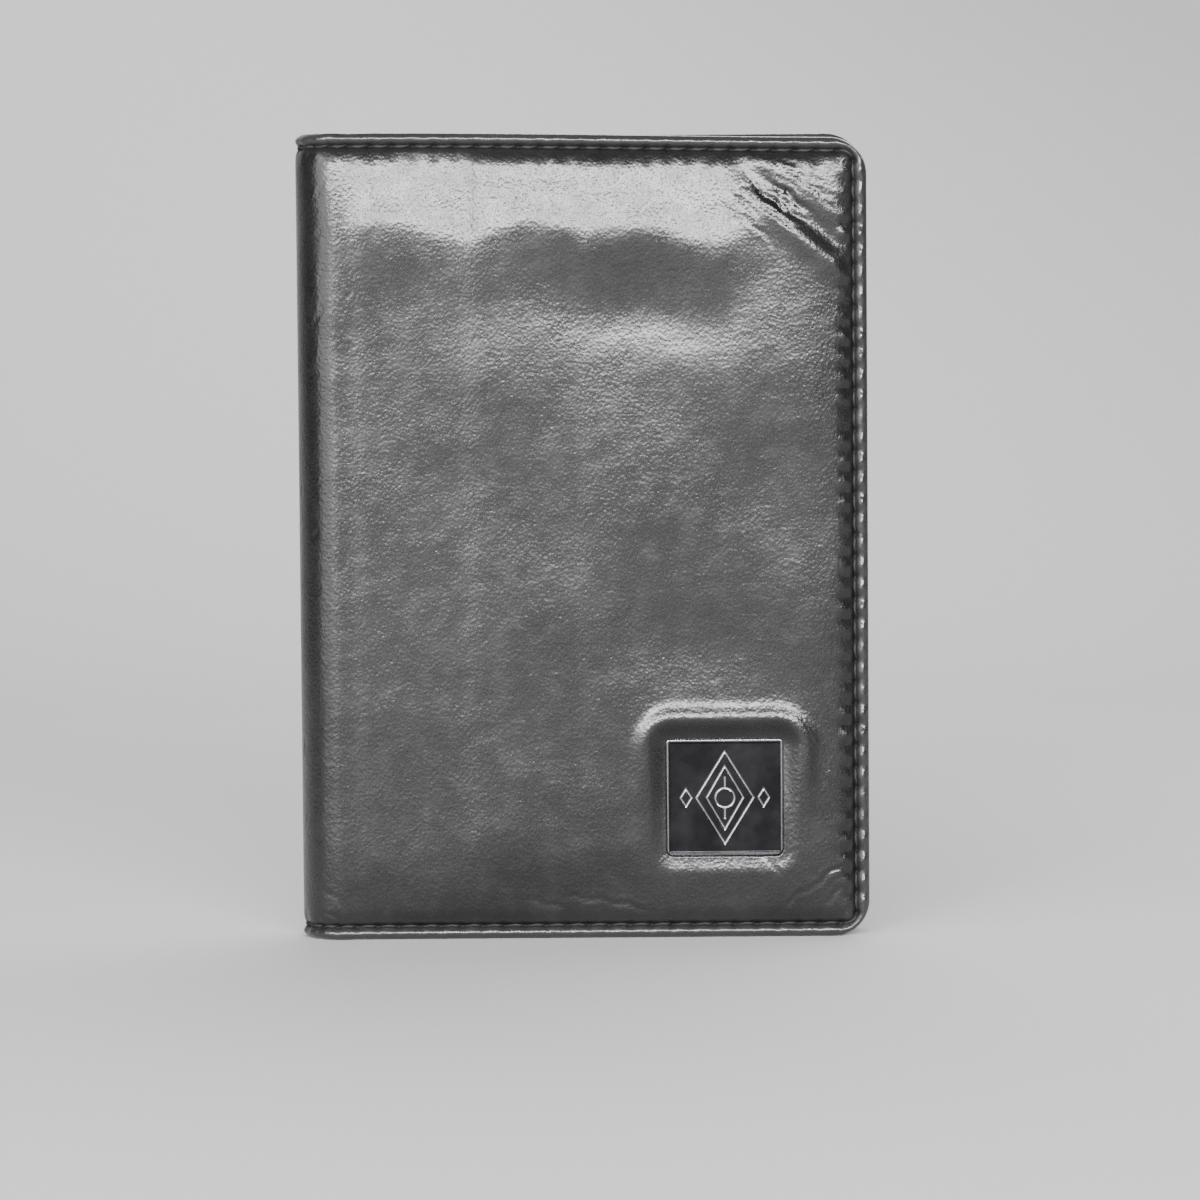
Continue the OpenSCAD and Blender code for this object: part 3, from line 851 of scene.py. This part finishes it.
class Nodes:
    """A short way to build a material's nodes. Lengths given to textures are in millimetres."""

    def __init__(self, name):
        self.material = bpy.data.materials.new(name)
        self.material.use_nodes = True
        self.tree = self.material.node_tree
        self.shader = self.tree.nodes["Principled BSDF"]
        self.where = self.tree.nodes.new("ShaderNodeTexCoord").outputs["Object"]

    def add(self, kind, inputs=(), **settings):
        node = self.tree.nodes.new("ShaderNode" + kind)
        for key, value in settings.items():
            setattr(node, key, value)
        for key, value in dict(inputs).items():
            self.put(node.inputs[key], value)
        return node

    def put(self, socket, value):
        if isinstance(value, bpy.types.NodeSocket):
            self.tree.links.new(value, socket)
        else:
            socket.default_value = value

    def noise(self, size, detail=3.0, rough=0.5, where=None, distortion=0.0):
        """Cloudy noise, 0 to 1, whose spots are about size across."""
        inputs = {"Vector": where or self.where, "Scale": 1 / (size * MM), "Detail": detail,
                  "Roughness": rough, "Distortion": distortion}
        return self.add("TexNoise", inputs).outputs["Fac"]

    def cells(self, size, feature="F1"):
        """Distance to the centre of cells about size across."""
        inputs = {"Vector": self.where, "Scale": 1 / (size * MM)}
        return self.add("TexVoronoi", inputs, feature=feature).outputs["Distance"]

    def stretch(self, scale):
        return self.add("Mapping", {"Vector": self.where, "Scale": scale}).outputs["Vector"]

    def band(self, value, low, high, out_low=0.0, out_high=1.0):
        """A smooth step from out_low to out_high as value goes from low to high."""
        inputs = {"Value": value, "From Min": low, "From Max": high, "To Min": out_low,
                  "To Max": out_high}
        return self.add("MapRange", inputs, interpolation_type="SMOOTHSTEP").outputs["Result"]

    def math(self, operation, first, second):
        return self.add("Math", {0: first, 1: second}, operation=operation).outputs[0]

    def sum(self, *terms):
        """The sum of pairs of a value and its weight."""
        total = None
        for value, weight in terms:
            part = self.math("MULTIPLY", value, weight)
            total = part if total is None else self.math("ADD", total, part)
        return total

    def mix(self, factor, first, second):
        """A blend of two colours or grey values."""
        node = self.add("Mix", data_type="RGBA")
        self.put(node.inputs["Factor"], factor)
        self.put(node.inputs["A"], (*first, 1) if isinstance(first, tuple) else first)
        self.put(node.inputs["B"], (*second, 1) if isinstance(second, tuple) else second)
        return node.outputs["Result"]

    def stored(self, name):
        """A number kept with each point by store; 0 on a piece that has none."""
        return self.add("Attribute", attribute_name=name).outputs["Fac"]

    def bump(self, *layers):
        """Bump from layers of height, strength and distance in millimetres, each on the one before."""
        normal = None
        for height, strength, distance in layers:
            inputs = {"Height": height, "Strength": strength, "Distance": distance * MM}
            if normal is not None:
                inputs["Normal"] = normal
            normal = self.add("Bump", inputs).outputs["Normal"]
        self.put(self.shader.inputs["Normal"], normal)

    def set(self, **values):
        """Sets the shader's sockets, their names written with underscores."""
        for key, value in values.items():
            self.put(self.shader.inputs[key.replace("_", " ")], value)


def leather(name, dark, light, rough, grain=0.42, depth=0.05, wear=1.0, gloss=0.5):
    """Black leather: fine pebbles with pores between them, cloudy gloss and rubbed edges.

    A seam's groove gets painted shade: darker, rougher and less glossy than the rest. grain is the
    pebbles' size and depth their height.
    """
    n = Nodes(name)
    pebbles = n.cells(grain, "SMOOTH_F1")
    pores = n.cells(grain * 2.3, "F1")
    fine = n.noise(grain * 0.45, 4.0, 0.6)
    clouds = n.noise(14, 4.0, 0.55)
    patches = n.noise(3.2, 5.0, 0.6)
    wrinkles = n.noise(grain * 2.6, 3.0, 0.6, n.stretch((1.0, 1.0, 0.7)), 1.2)
    scuffs = n.noise(1.1, 6.0, 0.75, n.stretch((1.0, 1.0, 0.22)), 0.6)
    edge = n.stored("edge")
    tone = n.mix(n.band(clouds, 0.35, 0.68), dark, light)
    tone = n.mix(n.sum((n.band(scuffs, 0.66, 0.8), 0.25 * wear)), tone, (0.1, 0.1, 0.104))
    rubbed = n.sum((edge, 0.3 * wear), (n.band(patches, 0.5, 0.75), 0.05 * wear))
    tone = n.mix(rubbed, tone, (0.055, 0.055, 0.058))
    roughness = n.sum((n.band(clouds, 0.3, 0.7, rough - 0.008, rough + 0.012), 1.0),
                      (n.band(patches, 0.35, 0.7, -0.02, 0.03), 1.0),
                      (n.band(fine, 0.3, 0.7, -0.03, 0.04), 1.0), (edge, -0.05))
    n.bump((wrinkles, 0.65, depth * 1.1), (n.band(pores, 0.0, 0.22), 0.4, depth * 0.7),
           (pebbles, 0.65, depth * 1.1), (fine, 0.3, depth * 0.5))
    # Painted shade in the seam's groove: near-black colour, more roughness and less gloss.
    seam = n.stored("seam")
    tone = n.mix(n.sum((seam, 0.8)), tone, (0.003, 0.003, 0.003))
    n.set(Base_Color=tone, Roughness=n.sum((roughness, 1.0), (seam, 0.3)),
          Specular_IOR_Level=n.band(seam, 0.1, 0.9, gloss, 0.3 * gloss))
    return n.material


def thread_material():
    n = Nodes("waxed_thread")
    fibres = n.noise(0.09, 3.0, 0.6, n.stretch((0.5, 1.0, 1.0)))
    n.bump((fibres, 0.5, 0.03))
    n.set(Base_Color=n.mix(n.band(fibres, 0.35, 0.7), (0.003, 0.003, 0.0035), (0.012, 0.012, 0.013)),
          Roughness=n.band(fibres, 0.3, 0.7, 0.55, 0.75), Specular_IOR_Level=0.35)
    return n.material


def twill(name, dark, light, pitch=0.55):
    """Woven fabric with a diagonal rib."""
    n = Nodes(name)
    slanted = n.add("Mapping", {"Vector": n.where, "Rotation": (0, math.radians(52), 0)})
    ribs = n.add("TexWave", {"Vector": slanted.outputs["Vector"], "Scale": 0.31 / (pitch * MM),
                             "Distortion": 0.6, "Detail": 2.0, "Detail Scale": 2.0},
                 bands_direction="X").outputs["Fac"]
    yarns = n.add("TexWave", {"Vector": n.where, "Scale": 0.62 / (pitch * MM), "Distortion": 0.5},
                  bands_direction="Z").outputs["Fac"]
    lint = n.noise(0.35, 4.0, 0.7)
    height = n.sum((ribs, 0.7), (yarns, 0.3))
    n.bump((height, 0.6, 0.06), (lint, 0.3, 0.03))
    tone = n.mix(n.band(height, 0.2, 0.8), dark, light)
    n.set(Base_Color=n.mix(n.sum((n.band(lint, 0.6, 0.75), 0.3)), tone, (0.04, 0.04, 0.042)),
          Roughness=n.band(lint, 0.3, 0.7, 0.75, 0.9), Specular_IOR_Level=0.15, Sheen_Weight=0.04)
    return n.material


def badge_metal():
    """Dark polished plating with fine scratches, brighter where the emblem is cut, and a painted
    highlight along the rim.
    """
    n = Nodes("badge_plating")
    hair = n.noise(0.3, 5.0, 0.7, n.stretch((0.25, 1.0, 2.2)), 0.4)
    cross = n.noise(0.35, 5.0, 0.7, n.stretch((2.0, 1.0, 0.2)), 0.3)
    haze = n.noise(4.0, 4.0, 0.6)
    cut = n.stored("engraved")
    edge = n.stored("edge")
    plate = n.mix(n.band(haze, 0.35, 0.7), (0.016, 0.016, 0.017), (0.03, 0.03, 0.032))
    # A thin band along the plate's rim is painted bright: a painted highlight of the bevel.
    rim = n.band(edge, 0.86, 0.93)
    painted_rim_highlight = n.sum((rim, 0.5))
    tone = n.mix(painted_rim_highlight, n.mix(n.sum((cut, 0.8)), plate, (0.3, 0.3, 0.31)), (0.42, 0.42, 0.44))
    rough = n.sum((n.band(hair, 0.5, 0.8, 0.1, 0.24), 0.6), (n.band(cross, 0.5, 0.8, 0.08, 0.2), 0.4),
                  (n.band(haze, 0.4, 0.7, 0.0, 0.1), 1.0), (cut, 0.12))
    n.bump((hair, 0.08, 0.02), (cross, 0.06, 0.02), (haze, 0.05, 0.2))
    n.set(Base_Color=tone, Roughness=rough, Metallic=1.0)
    return n.material


def sheet_steel():
    n = Nodes("washer_sheet_steel")
    brushed = n.noise(0.25, 4.0, 0.6, n.stretch((0.1, 1.0, 2.0)))
    n.bump((brushed, 0.2, 0.02))
    n.set(Base_Color=n.mix(brushed, (0.42, 0.42, 0.43), (0.62, 0.62, 0.63)), Metallic=1.0,
          Roughness=n.band(brushed, 0.3, 0.7, 0.28, 0.45))
    return n.material


def foam_material():
    n = Nodes("open_foam")
    bubbles = n.cells(0.5, "F1")
    n.bump((bubbles, 0.7, 0.15))
    n.set(Base_Color=n.mix(n.noise(5), (0.7, 0.66, 0.56), (0.84, 0.81, 0.73)), Roughness=0.9)
    return n.material


def board_material():
    n = Nodes("grey_board")
    fibres = n.noise(0.5, 5.0, 0.7)
    n.bump((fibres, 0.4, 0.04))
    n.set(Base_Color=n.mix(fibres, (0.33, 0.27, 0.2), (0.52, 0.44, 0.34)), Roughness=0.85)
    return n.material


def tape_material():
    n = Nodes("spine_tape")
    weave = n.add("TexWave", {"Vector": n.where, "Scale": 0.7 / MM, "Distortion": 0.4},
                  bands_direction="Z").outputs["Fac"]
    n.bump((weave, 0.5, 0.05))
    n.set(Base_Color=n.mix(weave, (0.2, 0.17, 0.13), (0.36, 0.31, 0.25)), Roughness=0.85)
    return n.material


cover_leather = leather("cover_leather", (0.004, 0.004, 0.0043), (0.007, 0.007, 0.0074), 0.27)
inner_leather = leather("inner_leather", (0.009, 0.009, 0.0095), (0.013, 0.013, 0.014), 0.38,
                        grain=0.42, depth=0.055, wear=0.2, gloss=0.32)
gusset_leather = leather("gusset_leather", (0.008, 0.008, 0.0085), (0.012, 0.012, 0.013), 0.46,
                         grain=0.35, depth=0.04, wear=0.2, gloss=0.22)
thread = thread_material()
lining_fabric = twill("lining_twill", (0.006, 0.006, 0.007), (0.018, 0.018, 0.02))
liner_fabric = twill("liner_taffeta", (0.008, 0.008, 0.009), (0.02, 0.02, 0.022), 0.3)
board = board_material()
plating = badge_metal()
foam = foam_material()
tape = tape_material()
steel = sheet_steel()

# ---- The pieces ----


def paint(obj, material):
    obj.data.materials.clear()
    obj.data.materials.append(material)


def dress(obj, material, slot, *nodes):
    """Gives a piece its material and hides the CAD nodes that it stands for."""
    paint(obj, material)
    if nodes:
        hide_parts(*nodes)
    return obj


def fold_with_spine(obj):
    """Bakes a piece's transform into its mesh."""
    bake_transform(obj)


for side in (FRONT, BACK):
    part = SIDE_NAMES[side]
    skin = dress(outer_leather(side), cover_leather, "cover_leather",
                 part + "_cover_leather", "spine_leather")
    fold_with_spine(skin)
    cloth = dress(lining(side), lining_fabric, "lining_fabric", part + "_lining", "spine_lining")
    fold_with_spine(cloth)
    outside = seam_thread(part + "_thread_outside", side, lambda s, z: outer_depth(side, s, z),
                          outward=1, rows=11, columns=10)
    dress(outside, thread, "thread", part + "_stitching", "spine_stitching")
    fold_with_spine(outside)
    inside = seam_thread(part + "_thread_inside", side, lambda s, z: inner_depth(side, s) + 0 * z,
                         outward=-1, rows=7, columns=8, sink=0.3)
    dress(inside, thread, "thread")
    fold_with_spine(inside)
    pad = dress(padding(side), foam, "padding", part + "_cover_foam")
    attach(pad, part + "_cover")

plate = dress(badge(), plating, "badge_metal", "badge_plate")
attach(plate, "front_cover")

square, round_right = (0.3, 0.3), (0.3, CORNER_R - 1)
PANELS = [                           # name, CAD node, cover, corner radii, height of the cards' print
    ("rear_slot", "rear_slot_strip", FRONT, square, 0.0),
    ("middle_slot", "middle_slot_strip", FRONT, square, CARD_HEIGHT),
    ("front_slot", "front_slot_panel", FRONT, round_right, CARD_HEIGHT),
    ("slip_pocket", "slip_pocket_panel", BACK, round_right, 0.0),
]
for count, (name, node, side, radius, card) in enumerate(PANELS):
    panel = leather_panel(name, node, side, radius, True, 60 + count, seam=0.85, card=card)
    dress(panel, inner_leather, "inner_leather", node)
    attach(panel, SIDE_NAMES[side] + "_cover")
for name, node in (("rear_slot_cloth", "rear_slot_liner"), ("middle_slot_cloth", "middle_slot_liner")):
    cloth = leather_panel(name, node, FRONT, round_right, False, 90, grid=1.5, puff=0.0)
    dress(cloth, liner_fabric, "liner_fabric", node)
    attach(cloth, "front_cover")

pocket = leather_panel("card_pocket", "card_pocket_panel", BACK, (0.8, 3.0), True, 70, puff=0.05,
                       notch=7.5, seam=1.2, card=BUSINESS_CARD_HEIGHT)
dress(pocket, inner_leather, "inner_leather", "card_pocket_panel")
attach(pocket, "back_cover")
for run in ("top", "bottom", "side"):
    node = "card_pocket_gusset_" + run
    strip = dress(gusset("pocket_gusset_" + run, node, run), gusset_leather, "gusset_leather", node)
    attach(strip, "back_cover")
pocket_seam = dress(pocket_thread("pocket_thread"), thread, "thread", "card_pocket_stitching")
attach(pocket_seam, "back_cover")

for node, material in (("front_cover_board", board), ("back_cover_board", board),
                       ("spine_reinforcement", tape), ("badge_washer", steel)):
    paint(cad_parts[node], material)

# ---- Stage, lights and camera ----


def sweep():
    """A pale floor that curves up into a backdrop, in metres."""
    half_w, front, top = 6.0, -6.0, 4.0
    turn_at, radius = 0.42, 0.35
    profile = [(front, 0.0), (turn_at, 0.0)]
    for k in range(1, 17):
        angle = k / 16 * math.pi / 2
        profile.append((turn_at + radius * math.sin(angle), radius * (1 - math.cos(angle))))
    profile.append((turn_at + radius, top))
    points = [(x, y, z) for x in (-half_w, half_w) for y, z in profile]
    count = len(profile)
    faces = [[k, k + 1, count + k + 1, count + k] for k in range(count - 1)]
    obj = new_object("sweep", np.array(points) / MM, faces)
    obj.data.polygons.foreach_set("use_smooth", [True] * len(faces))
    n = Nodes("pale_paper")
    mottle = n.noise(1.2, 4.0, 0.7)
    n.bump((mottle, 0.15, 0.1))
    n.set(Base_Color=n.mix(mottle, (0.39, 0.39, 0.396), (0.45, 0.45, 0.457)), Roughness=0.8)
    obj.data.materials.append(n.material)


def softbox(name, power, size, place_at, aim):
    """A rectangular area light at place_at that faces aim, in metres."""
    light = bpy.data.lights.new(name, "AREA")
    light.shape = "RECTANGLE"
    light.size, light.size_y = size
    light.energy = power
    obj = add_object(name, light)
    obj.location = place_at
    obj.rotation_euler = (Vector(aim) - Vector(place_at)).to_track_quat("-Z", "Y").to_euler()


def world_light(level):
    """An even grey light from all round."""
    world = bpy.data.worlds.new("studio")
    world.use_nodes = True
    world.node_tree.nodes["Background"].inputs["Color"].default_value = (level, level, level, 1)
    bpy.context.scene.world = world


def camera():
    """The photograph's view: level with the case, a little above its middle, with a long lens."""
    distance, elevation, roll_angle = 0.58, math.radians(3.0), math.radians(-0.45)
    view_width = 0.1632
    aim = Vector((0.0024, -SKIN * MM, 0.0464))
    data = bpy.data.cameras.new("camera")
    data.sensor_width = 36
    data.lens = 36 * distance / view_width
    data.clip_start, data.clip_end = 0.02, 20
    obj = add_object("camera", data)
    back = Vector((0, -math.cos(elevation), math.sin(elevation)))
    obj.location = aim + back * distance
    turn = (-back).to_track_quat("-Z", "Y")
    obj.rotation_mode = "QUATERNION"
    obj.rotation_quaternion = turn @ Quaternion((0, 0, 1), roll_angle)
    bpy.context.scene.camera = obj


sweep()
# The front light is low and far off, so its gloss fades down the cover. The tall strip at the left
# brings out the long prints, and the rear light the back and the top edge.
softbox("front", 52.0, (1.2, 0.15), (0.064, -1.224, 0.494), (0, 0, 0.06))
softbox("left", 10.0, (0.7, 0.9), (-0.6, -0.62, 0.3), (0, 0, 0.055))
softbox("left_strip", 6.0, (0.14, 0.4), (-0.513, -1.152, 0.384), (0, 0, 0.06))
softbox("rear", 5.5, (0.9, 0.3), (0.22, 0.4, 0.48), (0, 0, 0.07))
world_light(0.09)
camera()
